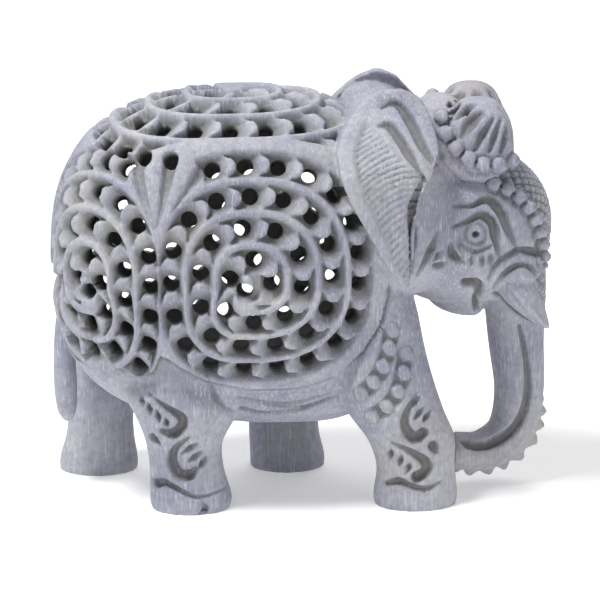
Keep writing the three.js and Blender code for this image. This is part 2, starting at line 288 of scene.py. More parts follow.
def add_bead(whole, x, side, z):
    """A bead on the skin of the widest of the head's blocks at a place on the side view."""
    out = max(0.0, *(block.reach_across(x, z) + block.centre[1] for block in (neck, skull, nape, domes[1])))
    bm = bmesh.new()
    bmesh.ops.create_icosphere(bm, subdivisions=3, radius=BEAD_RADIUS)
    bmesh.ops.translate(bm, vec=(x, side * out, z), verts=bm.verts)
    add_to(whole, bm)


def raw_form():
    """Every base form of the elephant in one mesh, in millimetres."""
    whole = bmesh.new()
    for block in (barrel, neck, skull, nape, lip, chest, belly, *domes, *ear_roots, *hoods):
        add_block(whole, block)
    for side, rows in LEGS.values():
        stations = [
            (x, side * FOOT_Y * spread, z, half, FOOT_HALF_WIDTH * (0.4 + 0.6 * spread))
            for x, z, half, spread in rows
        ]
        add_limb(whole, stations, level_rings=True)
    add_limb(whole, TRUNK, level_rings=False)
    add_limb(whole, TAIL, level_rings=False)
    for side in (-1, 1):
        add_limb(whole, [(x, side * y, z, a, b) for x, y, z, a, b in TUSK], level_rings=False)
        add_ear(whole, side)
        for points in BEAD_STRINGS:
            for x, z in bead_places(points):
                add_bead(whole, x, side, z)
    return whole


def as_object(bm, name):
    mesh = bpy.data.meshes.new(name)
    bm.to_mesh(mesh)
    bm.free()
    made = bpy.data.objects.new(name, mesh)
    bpy.context.scene.collection.objects.link(made)
    return made


def apply_modifiers(made):
    evaluated = made.evaluated_get(bpy.context.evaluated_depsgraph_get())
    mesh = bpy.data.meshes.new_from_object(evaluated)
    old = made.data
    made.modifiers.clear()
    made.data = mesh
    bpy.data.meshes.remove(old)


def fuse(made):
    """Joins the overlapping forms into one closed skin and rounds where they meet."""
    remesh = made.modifiers.new("fuse", "REMESH")
    remesh.mode = "VOXEL"
    remesh.voxel_size = VOXEL
    apply_modifiers(made)
    soften = made.modifiers.new("soften", "SMOOTH")
    soften.factor = 0.5
    soften.iterations = 4
    apply_modifiers(made)


def mesh_places(mesh):
    places = np.empty(len(mesh.vertices) * 3)
    mesh.vertices.foreach_get("co", places)
    return places.reshape(-1, 3)


def set_mesh_places(mesh, places):
    mesh.vertices.foreach_set("co", places.ravel())
    mesh.update()


def mesh_normals(mesh):
    normals = np.empty(len(mesh.vertices) * 3)
    mesh.vertex_normals.foreach_get("vector", normals)
    return normals.reshape(-1, 3)


# Patches: polar places on the barrel's skin, found by walking out from a middle

patches = {}


class Patch:
    """Rings a millimetre apart about a middle on the barrel's skin, each with the same spokes."""

    REACH = 48
    SPOKES = 180

    def __init__(self, direction, up):
        start = barrel.skin(np.array([direction], float))
        angles = np.arange(self.SPOKES) * 2 * math.pi / self.SPOKES
        points = np.repeat(start, self.SPOKES, axis=0)
        normal = barrel.normal(points)
        up = np.array(up, float) - normal * (normal @ up)[:, None]
        up /= np.linalg.norm(up, axis=1)[:, None]
        right = np.cross(up, normal)
        heading = right * np.cos(angles)[:, None] + up * np.sin(angles)[:, None]
        rings, headings, normals = [], [], []
        for _ in range(self.REACH):
            points = barrel.skin(points + heading - barrel.centre)
            normal = barrel.normal(points)
            heading -= normal * (heading * normal).sum(axis=1)[:, None]
            heading /= np.linalg.norm(heading, axis=1)[:, None]
            rings.append(points)
            headings.append(heading.copy())
            normals.append(normal)
        self.points = np.concatenate(rings)
        self.headings = np.concatenate(headings)
        self.normals = np.concatenate(normals)
        self.radii = np.repeat(np.arange(1, self.REACH + 1), self.SPOKES)
        self.angles = np.tile(angles, self.REACH)
        self.tree = KDTree(len(self.points))
        for index, point in enumerate(self.points):
            self.tree.insert(point, index)
        self.tree.balance()

    def polar(self, places):
        """Radius, angle and distance from the patch's nearest point of each place."""
        nearest = np.array([self.tree.find(place)[1] for place in places])
        gap = places - self.points[nearest]
        heading = self.headings[nearest]
        aside = np.cross(self.normals[nearest], heading)
        radius = self.radii[nearest] + (gap * heading).sum(axis=1)
        angle = self.angles[nearest] + (gap * aside).sum(axis=1) / np.maximum(self.radii[nearest], 1)
        off = np.linalg.norm(gap, axis=1)
        return np.maximum(radius, 0.01), angle, off

    def at(self, x, y):
        """The skin point and normal at a flat place on the patch."""
        radius = min(max(math.hypot(x, y), 1.0), self.REACH - 1.0)
        ring = int(radius) - 1
        spoke = int(round(math.atan2(y, x) / (2 * math.pi) * self.SPOKES)) % self.SPOKES
        index = ring * self.SPOKES + spoke
        point = self.points[index] + self.headings[index] * (radius - (ring + 1))
        return point, self.normals[index]


# Openwork: a channel coils inward, with drilled holes a pitch apart along it and tongues between them

class Coil:
    """A coiled channel on a patch. Its turns, called arms, are numbered outward from 0, and each
    steps in to the next at the cut. Sideways places are in half channels, and places along it in
    pitches, with a hole HOLE_SHARE past each whole one."""

    STEP_SPAN = math.radians(65)
    SAMPLES = 720
    HOLE_SHARE = 0.2
    CHANNEL_SIDE = (0.5, 0.94)
    TONGUE_RISE = (0.22, 0.9)
    TONGUE_LIFT = 0.93
    TONGUE_NARROWS = (0.3, 0.95)
    ROOT_HALF = 1.1
    NARROWER_AT_TIP = 0.62
    TIP = 0.99
    TIP_ROUNDING = 0.5
    SIDE_SOFTNESS = 0.1
    TIP_SOFTNESS = 0.03
    AREA_FULL = 0.95
    AREA_END = 1.15
    START_SOFTNESS = 0.15
    END_SOFTNESS = 0.2

    def __init__(self, patch, arms, inner, spacing, pitch, cut, start, stretch, power, inside,
                 hand=1, slip=0.0):
        self.patch = patch
        self.power = power
        self.hand = hand
        self.arms = arms
        self.inner = inner
        self.spacing = spacing
        self.cut = math.radians(cut)
        self.stretch = stretch
        self.inside = inside
        turn = np.linspace(0, 2 * math.pi, self.SAMPLES + 1)
        self.turn = turn
        self.lengths = {}
        walked = 0.0
        for arm in range(arms - 1, -1, -1):
            radius = self.arm_radius(arm, turn) * self.stretched(self.cut - turn)
            pieces = np.hypot((radius[1:] + radius[:-1]) / 2 * np.diff(turn), np.diff(radius))
            along = np.concatenate([[0], np.cumsum(pieces)])
            self.lengths[arm] = walked + along
            walked += along[-1]
        first = math.radians((cut - start) % 360)
        self.first = float(np.interp(first, turn, self.lengths[arms - 1]))
        count = round((walked - self.first) / pitch)
        self.pitch = (walked - self.first) / count
        self.first += slip * self.pitch
        self.count = count - math.ceil(slip)

    def arm_radius(self, arm, turn):
        return self.inner + self.spacing * (arm + 1 - smooth(0, self.STEP_SPAN, turn))

    def stretched(self, angle):
        """How much further out than on a round coil a turn runs at an angle."""
        right, left, above, below = self.stretch
        level, upright = np.cos(angle), np.sin(angle)
        wide = np.where(level > 0, right, left)
        tall = np.where(upright > 0, above, below)
        total = np.abs(level / wide) ** self.power + np.abs(upright / tall) ** self.power
        return total ** (-1 / self.power)

    def locate(self, radius, angle):
        """Place along the channel, sideways place in it, and the number of the arm."""
        turn = (self.cut - angle) % (2 * math.pi)
        ring = (radius / self.stretched(angle) - self.inner) / self.spacing
        level = ring - 1 + smooth(0, self.STEP_SPAN, turn)
        arm = np.clip(np.round(level), 0, self.arms - 1).astype(int)
        aside = (level - arm) * 2
        along = np.zeros(len(radius))
        for number in range(self.arms):
            here = arm == number
            along[here] = np.interp(turn[here], self.turn, self.lengths[number])
        share = (along - self.first) / self.pitch + self.HOLE_SHARE
        return share, aside, arm

    def holes(self):
        """Flat places of the drilled holes on the patch."""
        places = []
        for index in range(self.count):
            walked = self.first + index * self.pitch
            for arm in range(self.arms - 1, -1, -1):
                lengths = self.lengths[arm]
                if lengths[0] <= walked < lengths[-1]:
                    turn = float(np.interp(walked, lengths, self.turn))
                    angle = self.cut - turn
                    radius = float(self.arm_radius(arm, turn) * self.stretched(np.array(angle)))
                    place = (self.hand * radius * math.cos(angle), radius * math.sin(angle))
                    if self.inside(np.array([place[0]]), np.array([place[1]]))[0] > 0.5:
                        places.append(place)
        return places

    def relief(self, radius, angle):
        """How far the carving goes under the skin, as a height below 0, and the coil's own area."""
        x, y = radius * np.cos(angle), radius * np.sin(angle)
        if self.hand < 0:
            angle = math.pi - angle
        share, aside, arm = self.locate(radius, angle)
        along = share - np.floor(share)
        off = np.abs(aside)
        channel = 1 - smooth(*self.CHANNEL_SIDE, off)
        lift = self.TONGUE_LIFT * smooth(*self.TONGUE_RISE, along)
        half = self.ROOT_HALF - self.NARROWER_AT_TIP * smooth(*self.TONGUE_NARROWS, along)
        tongue = 1 - smooth(half - self.SIDE_SOFTNESS, half + self.SIDE_SOFTNESS, off)
        tip = self.TIP - self.TIP_ROUNDING * off ** 2
        tongue *= 1 - smooth(tip - self.TIP_SOFTNESS, tip + self.TIP_SOFTNESS, along)
        depth = channel * (1 - lift * tongue)
        past_outer = np.where(arm == self.arms - 1, aside, 0)
        area = self.inside(x, y) * (1 - smooth(self.AREA_FULL, self.AREA_END, past_outer))
        area *= smooth(-self.AREA_END, -self.AREA_FULL, np.where(arm == 0, aside, 0))
        started = smooth(-self.START_SOFTNESS, 0.0, share)
        started = started * (1 - smooth(self.count - self.END_SOFTNESS, self.count, share))
        return -RELIEF * depth * area * started, area


# The middles of the patches, from the middle of the barrel, and the outlines of their carving
FLANK_MIDDLE = (0.6, -half_width, 1.5)
RUMP_MIDDLE = (-40, -21.3, 0.6)
SADDLE_MIDDLE = (-2.5, 0, 43)
SADDLE_HALF = 23.5
OUTLINE_SOFTNESS = 0.5


def within(low_edge, high_edge, value):
    past_low = smooth(low_edge - OUTLINE_SOFTNESS, low_edge + OUTLINE_SOFTNESS, value)
    return past_low * (1 - smooth(high_edge - OUTLINE_SOFTNESS, high_edge + OUTLINE_SOFTNESS, value))


def everywhere(x, y):
    return np.ones(len(x))


def saddle_outline(x, y):
    return within(-SADDLE_HALF, SADDLE_HALF, y) * within(-37, 40, x)


def rump_outline(x, y):
    return within(-19, 20.5, x) * within(-24, 33, y)


def make_coils(slip):
    """The flank's and the rump's coils of one side, their holes slipped on by a share of the pitch."""
    flank = Coil(patches["flank"], arms=4, inner=5.2, spacing=7.7, pitch=8.3, cut=-105, start=109,
                 stretch=(1.0, 0.95, 1.03, 0.83), power=2.4, inside=everywhere, slip=slip)
    rump = Coil(patches["rump"], arms=4, inner=4.0, spacing=6.8, pitch=7.8, cut=-105, start=107,
                stretch=(1.0, 1.0, 1.25, 1.12), power=2.2, inside=rump_outline, hand=-1, slip=slip)
    return [flank, rump]


BARREL_SKIN = 0.035
PATCH_BAND = 2.0
LEAST_DROP = 0.02


def carve_openwork(places, sides, top):
    """Moves the barrel's skin into the coils, the fan and the step under the hem. Gives every
    vertex's recess, its share of painted shade, which is 1 where the carving is deepest, with a painted
    shadow line under the hem."""
    recess = np.zeros(len(places))
    offset = places - barrel.centre
    chosen = np.flatnonzero(np.abs(barrel.size(offset) - 1) < BARREL_SKIN)
    mirrored = places[chosen] * np.array([1, -1, 1])
    on_near_side = np.where((places[chosen, 1] < 0)[:, None], places[chosen], mirrored)
    height = np.zeros(len(chosen))
    taken = np.zeros(len(chosen))
    for number, name in enumerate(("flank", "rump")):
        radius, angle, off = patches[name].polar(on_near_side)
        for side, coils in sides.items():
            drop, area = coils[number].relief(radius, angle)
            reached = (off < PATCH_BAND) & (taken < 0.5) & (side * places[chosen, 1] > 0)
            drop = np.where(reached, drop, 0)
            height = np.minimum(height, drop)
            taken = np.maximum(taken, np.where(drop < -LEAST_DROP, area, 0))
    radius, angle, off = patches["saddle"].polar(places[chosen])
    drop, _ = top.relief(radius, angle)
    height = np.minimum(height, np.where((off < PATCH_BAND) & (taken < 0.5), drop, 0))
    height = np.minimum(height, fan_drop(places[chosen]))
    recess[chosen] = np.clip(-height / RELIEF, 0, 1)
    drop, shade = hem_drop(places[chosen])
    height = np.minimum(height, drop)
    recess[chosen] = np.maximum(recess[chosen], shade)
    places[chosen] += barrel.normal(places[chosen]) * height[:, None]
    return recess


# The fan's petals and the hollow at the eye of each coil: points (x, z), half widths, depth
FAN_AND_EYES = {
    "left petal": ([(-36.4, 74.5), (-39, 82), (-40.4, 88.4), (-38.8, 91.3)], [0.5, 1.2, 1.9, 2.2], 2.6),
    "middle petal": ([(-35.6, 75.5), (-34.2, 82), (-32.4, 90.4)], [0.4, 1.1, 2.0], 2.6),
    "right petal": ([(-32, 79), (-28, 84.6), (-24.4, 89)], [0.4, 1.0, 1.8], 2.2),
    "rump eye": ([(-55.2, 61.4), (-52.8, 61), (-51.8, 58.6), (-53.4, 57)], [0.6, 1.0, 1.5, 2.1], 2.4),
    "flank eye": ([(-16.8, 63.8), (-13, 63.6), (-11.6, 60.6), (-13, 58.4), (-14.8, 59)],
                  [0.4, 1.0, 1.6, 2.0, 2.4], 2.6),
}
FAN_AND_EYE_HOLES = [(-38.8, 91.3), (-32.3, 90.8), (-14.8, 59.4), (-53.4, 57.5)]
FAN_MIDDLE = (-34, 74)
FAN_REACH = (26, 21)
SAMPLE_GAP = 0.35


def stroke_amount(x, z, points, widths, depth):
    """Depth under a stroke of changing half width along side-view points."""
    line = np.array(points, float)
    if len(points) > 1:
        length = np.linalg.norm(np.diff(line, axis=0), axis=1).sum()
        line = curve_through(points, np.linspace(0, 1, int(length / SAMPLE_GAP) + 2))
    widths = np.interp(np.linspace(0, 1, len(line)), np.linspace(0, 1, len(widths)), widths)
    gap = np.stack([x, z], axis=1)[:, None, :] - line[None, :, :]
    share = np.linalg.norm(gap, axis=2) / widths[None, :]
    nearest = share.argmin(axis=1)
    closest = share[np.arange(len(x)), nearest]
    return np.clip(1.5 * (1 - closest ** 2), 0, 1) * depth * widths[nearest] / widths.max()


def fan_drop(places):
    """Petals that spread upward between the two coils of each side, and the eyes of the coils."""
    drop = np.zeros(len(places))
    near = np.flatnonzero((np.abs(places[:, (0, 2)] - FAN_MIDDLE) < FAN_REACH).all(axis=1))
    x, z = places[near, 0], places[near, 2]
    for points, widths, depth in FAN_AND_EYES.values():
        drop[near] = np.minimum(drop[near], -stroke_amount(x, z, points, widths, depth))
    return drop


def skin_at(x, z):
    """The barrel's skin point on the near side at a place on the side view, and its normal."""
    point = np.array([[x, -barrel.reach_across(x, z), z]])
    return point[0], barrel.normal(point)[0]


HEM = [
    (-62, 60), (-58, 54), (-53.8, 47.5), (-47.5, 38.6), (-44, 36.4), (-40, 36.2), (-37, 38), (-35.5, 42.5),
    (-33, 41.5), (-30.8, 39.6), (-24, 35.7), (-13, 33.1), (-1.8, 33.1), (7.5, 35.7), (14, 41.7),
    (18.5, 48.7), (20, 54), (22, 70),
]
HEM_STEP = 2.0


def hem_drop(places):
    """The stone below the cloth's hem steps in, then comes out again further down. Also its shade."""
    above = places[:, 2] - np.interp(places[:, 0], *zip(*HEM))
    drop = -HEM_STEP * smooth(0.45, -0.45, above) * smooth(-9, -2, above)
    shade = smooth(-3, -0.9, above) * (1 - smooth(-0.4, 0.5, above))
    return drop, shade


# Strokes of the gouge on the sides: hollows and ridges along side-view lines

STROKE_SHADE = 0.8
SHADE_PER_MM = 0.6
LEAST_FACING = 0.2
FULL_FACING = 0.45


def carve_stroke(places, normals, recess, points, widths, depth, side):
    """Sinks (or with a negative depth raises) a line of changing half width along side-view points."""
    corners = np.array(points, float)
    margin = max(widths) + 2
    low_corner, high_corner = corners.min(axis=0) - margin, corners.max(axis=0) + margin
    x, z = places[:, 0], places[:, 2]
    near = (x > low_corner[0]) & (x < high_corner[0]) & (z > low_corner[1]) & (z < high_corner[1])
    near &= (side * normals[:, 1] > LEAST_FACING) & (side * places[:, 1] > 2)
    chosen = np.flatnonzero(near)
    amount = stroke_amount(x[chosen], z[chosen], points, widths, depth)
    amount *= smooth(LEAST_FACING, FULL_FACING, side * normals[chosen, 1])
    places[chosen] -= normals[chosen] * amount[:, None]
    # A sunk stroke paints shade into its groove, and a raised one clears painted shade off its top
    if depth > 0:
        recess[chosen] = np.maximum(recess[chosen], np.clip(amount * SHADE_PER_MM, 0, STROKE_SHADE))
    else:
        recess[chosen] = np.minimum(recess[chosen], np.clip(1 + amount, 0, 1))


# Side-view lines: points (x, z), half widths along the line, depth. Negative depth is raised.
SLASH = [0.4, 0.9, 0.4]
UNDER_EYE = [0.5, 0.8, 0.4]
HEAD_AND_BELLY = {
    "brow": ([(36.2, 77), (40.8, 76.9), (45, 78.3), (48.3, 74.8), (50.1, 70.5), (52.6, 65.2)],
             [0.4, 0.9, 1.4, 1.3, 0.4], 2.0),
    "upper lid": ([(36, 72), (39.4, 73.2), (43.2, 74.6), (46, 72.6), (46.9, 68.5), (47.8, 63.8)],
                  [0.4, 0.9, 1.4, 1.4, 0.5], 2.2),
    "eye corner": ([(38.2, 71.4), (37.8, 67.6), (38.6, 64.6)], [0.3, 0.8, 0.3], 0.9),
    "lower lid": ([(38.4, 67.4), (41.8, 65.6), (45.6, 67)], [0.5, 0.9, 0.5], 1.2),
    "under eye a": ([(41, 64.8), (40.8, 62.2)], UNDER_EYE, 1.1),
    "under eye b": ([(43.4, 64.6), (43.6, 61.8)], UNDER_EYE, 1.1),
    "under eye c": ([(45.6, 64.8), (45.8, 62)], UNDER_EYE, 1.1),
    "cheek leaf": ([(32.6, 72), (30.7, 67.4), (27.2, 61)], [0.3, 1.3, 0.4], 1.9),
    "small leaf": ([(33.9, 66.6), (31.4, 64.4)], [0.3, 1.0, 0.4], 1.4),
    "oval": ([(31.8, 62.8), (33.8, 62.5)], [0.8, 1.0, 0.8], 1.5),
    "side leaf": ([(35.5, 68), (36.3, 64.8), (39, 62.8)], [0.4, 1.3, 0.4], 1.8),
    "mouth": ([(39.8, 57.2), (42.2, 57), (43.2, 54.4), (42.6, 51.4), (43.6, 47.4)],
              [1.5, 1.5, 1.2, 0.8, 1.1], 2.7),
    "ear groove": ([(28.4, 86), (25.6, 79), (25.9, 71), (25.4, 62)], [0.5, 1.1, 1.2, 0.7], 1.6),
    "outer crescent": ([(18.6, 100.9), (22.2, 102), (25.4, 98.8), (28.4, 93.2), (32.2, 87.2)],
                       [0.3, 0.9, 1.4, 1.3, 0.4], 2.1),
    "inner crescent": ([(17.6, 97.4), (20.8, 97.2), (24.8, 91.9), (28.8, 84.8)], [0.3, 1.1, 1.4, 0.5], 2.0),
    "petal a": ([(36, 97.6), (38.8, 100.6), (42.4, 102)], [0.8, 2.0, 0.8], 2.2),
    "petal b": ([(38.2, 93.8), (40.4, 97.2), (43.6, 99.4)], [0.8, 1.8, 0.7], 2.2),
    "petal c": ([(41.6, 91), (43.4, 94.6), (46, 98)], [0.8, 1.3, 0.7], 1.6),
    "petal d": ([(45, 90.4), (46.4, 94), (47.8, 97.4)], [0.7, 1.1, 0.7], 1.5),
    "petal e": ([(48, 90.2), (49, 93), (49.6, 96)], [0.7, 1.0, 0.6], 1.4),
    "strap": ([(34.4, 88), (37.4, 85), (42, 83.6), (46.4, 84)], [1.3, 1.3], -1.2),
    "outer hood": ([(45.2, 58), (47.2, 62), (52.4, 65), (57.6, 63.4), (60.2, 58.6)],
                   [0.4, 1.0, 1.0, 0.4], 1.5),
    "inner hood": ([(47, 55), (49, 59), (53.2, 61.6), (57, 59.6), (59, 54.6)], [0.5, 0.9, 1.0, 0.5], 1.5),
    "trunk line": ([(54.3, 43), (56.2, 35), (57.1, 27), (55.9, 20), (52.6, 15), (47, 11.8),
                    (42.8, 11.8), (40.8, 13.8)],
                   [0.7, 0.95, 1.2, 1.4, 1.5, 1.2, 1.0, 1.5], 2.3),
    "tusk underside": ([(47.2, 53.2), (52.4, 48.8), (55.8, 46.2), (59, 44.4)], [0.7, 1.0, 0.9, 0.6], 1.7),
    "tusk ridge": ([(50.6, 56), (55, 51), (60.2, 44.8)], [0.7, 1.1, 0.6], -0.9),
    "belly arc": ([(-15.4, 26.9), (-9.7, 25.2), (-1, 26), (5.7, 28.9)], [0.9, 0.8, 0.7, 0.3], 1.1),
    "belly arc above": ([(-16.3, 30.6), (-5, 28), (6.2, 30.4)], [0.3, 0.6, 0.3], 0.8),
    "belly arc between": ([(-9, 28), (-1, 26.8), (8, 29.6)], [0.3, 0.5, 0.3], 0.7),
    "haunch sweep": ([(-24, 38), (-22, 31), (-16, 25)], [0.3, 0.8, 0.3], 0.9),
}
NEAR_HIND = {
    "upper comma": ([(-38.5, 32.1), (-34.5, 28.9), (-30.5, 26.2), (-30.2, 23.7), (-32.5, 21.6),
                     (-35.2, 22.1)],
                    [0.3, 0.9, 1.3, 1.5, 1.6, 0.8], 2.7),
    "slash a": ([(-40.3, 31), (-39.8, 28.4)], SLASH, 1.7),
    "slash b": ([(-38.5, 29.3), (-38, 26.5)], SLASH, 1.7),
    "slash c": ([(-36.4, 27.5), (-35.8, 24.7)], SLASH, 1.7),
    "slash d": ([(-34.4, 25.6), (-33.8, 23.6)], [0.4, 0.8, 0.4], 1.5),
    "notch": ([(-37.4, 19.8), (-35.8, 18.4)], [1.3, 0.5], 1.8),
    "lower comma": ([(-28.5, 20.9), (-31.8, 17.8), (-32.8, 14.3), (-31.2, 10.8), (-28.5, 10.5),
                     (-26.8, 12.2)],
                    [0.4, 1.0, 1.5, 1.8, 1.7, 0.8], 2.7),
    "slash e": ([(-30.2, 16.6), (-26.3, 19)], SLASH, 1.5),
    "slash f": ([(-28.6, 14.2), (-25.4, 16.6)], SLASH, 1.5),
    "slash g": ([(-26, 12.4), (-24, 14.8)], SLASH, 1.5),
    "foot groove": ([(-37.2, 7), (-34.8, 8), (-31.2, 6.6), (-27.1, 4.9), (-23.1, 5.2), (-19.1, 5.9)],
                    [1.4, 1.3, 0.9, 0.7, 0.5, 0.3], 1.9),
    "chip": ([(-25.4, 3.8), (-24.4, 1.9), (-25, 0.3)], [0.3, 0.9, 1.2], 1.5),
}
NEAR_FRONT = {
    "comma": ([(27.4, 31), (25, 26.1), (24.7, 22.3), (26.9, 19.4), (29.2, 20.6)],
              [0.4, 1.1, 1.4, 1.8, 1.6], 2.6),
    "slash a": ([(26.4, 27.6), (28.2, 30)], SLASH, 1.5),
    "slash b": ([(27, 24.4), (29.2, 27)], SLASH, 1.5),
    "slash c": ([(29.2, 23.6), (31, 25.8)], SLASH, 1.5),
    "notch": ([(31.8, 17), (32.6, 15.4)], [1.5, 0.8], 1.9),
    "hook": ([(21.2, 18.3), (25.8, 15.9), (29.8, 13), (30.1, 10.6), (27.8, 9)],
             [0.4, 1.0, 1.5, 1.6, 1.7], 2.6),
    "slash d": ([(21.3, 16), (20.9, 13.4)], SLASH, 1.5),
    "slash e": ([(23.8, 14.6), (23.2, 11.8)], SLASH, 1.5),
    "slash f": ([(26, 12.8), (25.2, 10.2)], SLASH, 1.5),
    "foot groove": ([(20.2, 6.6), (23.1, 7.6), (25.8, 6.8), (29.8, 5.9), (34.5, 7.7)],
                    [0.8, 1.3, 1.0, 0.9, 0.3], 1.9),
}

# How far behind the near leg's strokes those of the far leg stand
FAR_HIND_STEP = -22.2
FAR_FRONT_STEP = -30.8

# The eye's rings, as half width and depth, and the gems set along two channels on the shoulder
EYE = (41.8, 70)
EYE_RINGS = [(3.6, 1.4), (2.5, -1.4), (0.95, 2.0)]
SHOULDER_GEMS = [
    [(21.1, 47), (20.5, 42.6), (18.9, 38.3), (16.7, 34.4), (13.8, 31.2)],
    [(24.6, 40.9), (24, 36.2), (22.6, 31.8), (20, 28), (16.6, 25.2)],
]
GEM_CHANNEL = ([2.5, 2.5], 1.4)
GEM = ([1.8, 1.8], -1.4)
BEAD_BED = ([2.5], 1.0)
BEAD_CROWN = ([1.8], -1.4)
# Painted shade and patina on the far front leg's inner face
INNER_LEG_SHADE_AND_PATINA = 0.45


def darken_inner_leg(places, normals, recess):
    """Painted shade, with some patina, darkens the flat inner face of the far front leg between the legs.
    """
    x, y, z = places.T
    darkened = (y > 4) & (y < 16) & (np.abs(x + 2) < 12) & (z < 26)
    recess[darkened] = np.maximum(recess[darkened], INNER_LEG_SHADE_AND_PATINA * smooth(0.75, 0.9, -normals[darkened, 1]))


def carve_sides(places, normals, recess):
    """The strokes of head, shoulder and belly on both sides, and those of the legs."""
    def stroke(side, points, widths, depth):
        carve_stroke(places, normals, recess, points, widths, depth, side)

    darken_inner_leg(places, normals, recess)
    for side in (-1, 1):
        for points, widths, depth in HEAD_AND_BELLY.values():
            stroke(side, points, widths, depth)
        for half, depth in EYE_RINGS:
            stroke(side, [EYE], [half], depth)
        for row in SHOULDER_GEMS:
            stroke(side, row, *GEM_CHANNEL)
            for x, z in row:
                stroke(side, [(x - 0.2, z + 0.4), (x + 0.2, z - 0.4)], *GEM)
        for points in BEAD_STRINGS:
            for x, z in bead_places(points):
                stroke(side, [(x, z)], *BEAD_BED)
                stroke(side, [(x, z)], *BEAD_CROWN)
    for strokes, step in ((NEAR_HIND, FAR_HIND_STEP), (NEAR_FRONT, FAR_FRONT_STEP)):
        for points, widths, depth in strokes.values():
            stroke(-1, points, widths, depth)
            stroke(1, [(x + step, z) for x, z in points], widths, depth)


RIB_PITCH = 1.4
RIB_DEPTH = 0.55
RIB_SHADE = 0.5
FIELD_DEPTH = 0.7
FIELD_TOP = 99
RIM_WIDTH = 1.8
RIM_WIDER_ABOVE = 2.4


def carve_ears(places, normals, recess):
    """Feathered ribs over the ear's field, inside a plain rim along its rear edge."""
    x, y, z = places.T
    rear, front = ear_edges(z)
    outer = ear_outer(x, z)
    field = (np.abs(np.abs(y) - outer) < 1.8) & (x > rear) & (x < front + 1) & (z > EAR_BOTTOM)
    field &= (z < FIELD_TOP) & (np.abs(normals[:, 1]) > 0.3)
    chosen = np.flatnonzero(field)
    from_rim = x[chosen] - rear[chosen]
    under_crescent = z[chosen] + 0.95 * x[chosen]
    rim = RIM_WIDTH + RIM_WIDER_ABOVE * smooth(60, 80, z[chosen])
    inside = smooth(-1.0, 1.0, from_rim - rim) * (1 - smooth(111.5, 114, under_crescent))
    inside *= 1 - smooth(-0.6, 0.6, x[chosen] - front[chosen])
    reach = np.minimum(from_rim, 15)
    rise = z[chosen] - 0.85 * reach + 0.02 * reach ** 2
    rib = (rise / RIB_PITCH) % 1
    depth = (FIELD_DEPTH + RIB_DEPTH * rib ** 1.5) * inside
    places[chosen] -= normals[chosen] * depth[:, None]
    recess[chosen] = np.maximum(recess[chosen], RIB_SHADE * rib ** 3 * inside)


CELL = 3.1
GROOVE_DEPTH = 0.95
GROOVE_SHADE = 0.7
PANEL_HALF_WIDTHS = [
    (38, 5.6), (46, 6.4), (52, 7.4), (61, 8.4), (69.5, 12), (76.5, 13), (81.5, 13.6), (88, 13),
]


def carve_brow_panel(places, normals, recess):
    """A lattice of crossed grooves over the forehead and down the top of the trunk's front."""
    x, y, z = places.T
    front = smooth(0.25, 0.5, normals[:, 0] * 0.9 + normals[:, 2] * 0.5)
    front *= smooth(43, 47, z)
    front *= smooth(46, 49, x)
    half = np.interp(z, *zip(*PANEL_HALF_WIDTHS))
    front *= 1 - smooth(half - 0.6, half, np.abs(y))
    front *= 1 - smooth(84.5, 86, z)
    along = z - 0.55 * (x - 60)
    lines = np.zeros(len(x))
    for slant in (1, -1):
        phase = ((along + slant * y) / CELL) % 1
        lines = np.maximum(lines, 1 - smooth(0.0, 0.26, np.abs(phase - 0.5)))
    places -= normals * (GROOVE_DEPTH * lines * front)[:, None]
    np.maximum(recess, lines * front * GROOVE_SHADE, out=recess)


FLUTES = 9
FLUTE_DEPTH = 1.5
FLUTE_SHADE = 0.8
DOME_SKIN = 0.09


def carve_crown(places, normals, recess):
    """Sunk flutes that run up each dome to its top. Its outward face is left for the petals."""
    for dome in domes:
        offset = places - dome.centre
        near = (np.abs(dome.size(offset) - 1) < DOME_SKIN) & (offset[:, 2] > 0)
        chosen = np.flatnonzero(near)
        around = np.arctan2(offset[chosen, 1], offset[chosen, 0])
        rise = offset[chosen, 2]
        flute = np.cos(around * FLUTES / 2) ** 2
        trough = smooth(0.12, 0.8, flute) * smooth(0.5, 3, rise) * (1 - smooth(10, 12.2, rise))
        trough *= 1 - smooth(0.15, 0.5, normals[chosen, 1] * np.sign(dome.centre[1]))
        places[chosen] -= normals[chosen] * (FLUTE_DEPTH * trough)[:, None]
        recess[chosen] = np.maximum(recess[chosen], trough * FLUTE_SHADE)


TOOTH_PITCH = 3.0
TOOTH_RISE = 1.7
FRINGE_SAMPLES = 160


def carve_fringe(places, normals):
    """Teeth along the outer edge of the trunk's curl."""
    line = curve_through(TRUNK, np.linspace(0.5, 1, FRINGE_SAMPLES))
    spine = line[:, (0, 2)]
    walked = walked_along(spine)
    x, y, z = places.T
    chosen = np.flatnonzero((z < 24) & (x > 36) & (np.abs(y) < 9))
    gap = places[chosen][:, None, (0, 2)] - spine[None, :, :]
    nearest = np.linalg.norm(gap, axis=2).argmin(axis=1)
    along = walked[nearest]
    down = np.clip(normals[chosen, 0] * 0.9 - normals[chosen, 2], 0, 1)
    tooth = 0.5 - 0.5 * np.cos(2 * math.pi * along / TOOTH_PITCH)
    narrow = 1 - smooth(1.2, 3.4, np.abs(places[chosen, 1] - np.interp(along, walked, line[:, 1])))
    rise = TOOTH_RISE * narrow * down * (0.1 + 0.9 * tooth) * smooth(0, 6, along)
    places[chosen] += normals[chosen] * rise[:, None]


# Hollow and drilled holes

def add_drill(bm, point, normal):
    """A drill's cylinder through the wall, square to the skin at a point."""
    turn = Vector(normal).to_track_quat("Z", "Y").to_matrix().to_4x4()
    middle = Vector(point) - Vector(normal) * (WALL / 2)
    bmesh.ops.create_cone(
        bm, cap_ends=True, segments=HOLE_SIDES, radius1=HOLE_DIAMETER / 2, radius2=HOLE_DIAMETER / 2,
        depth=DRILL_LENGTH, matrix=Matrix.Translation(middle) @ turn,
    )


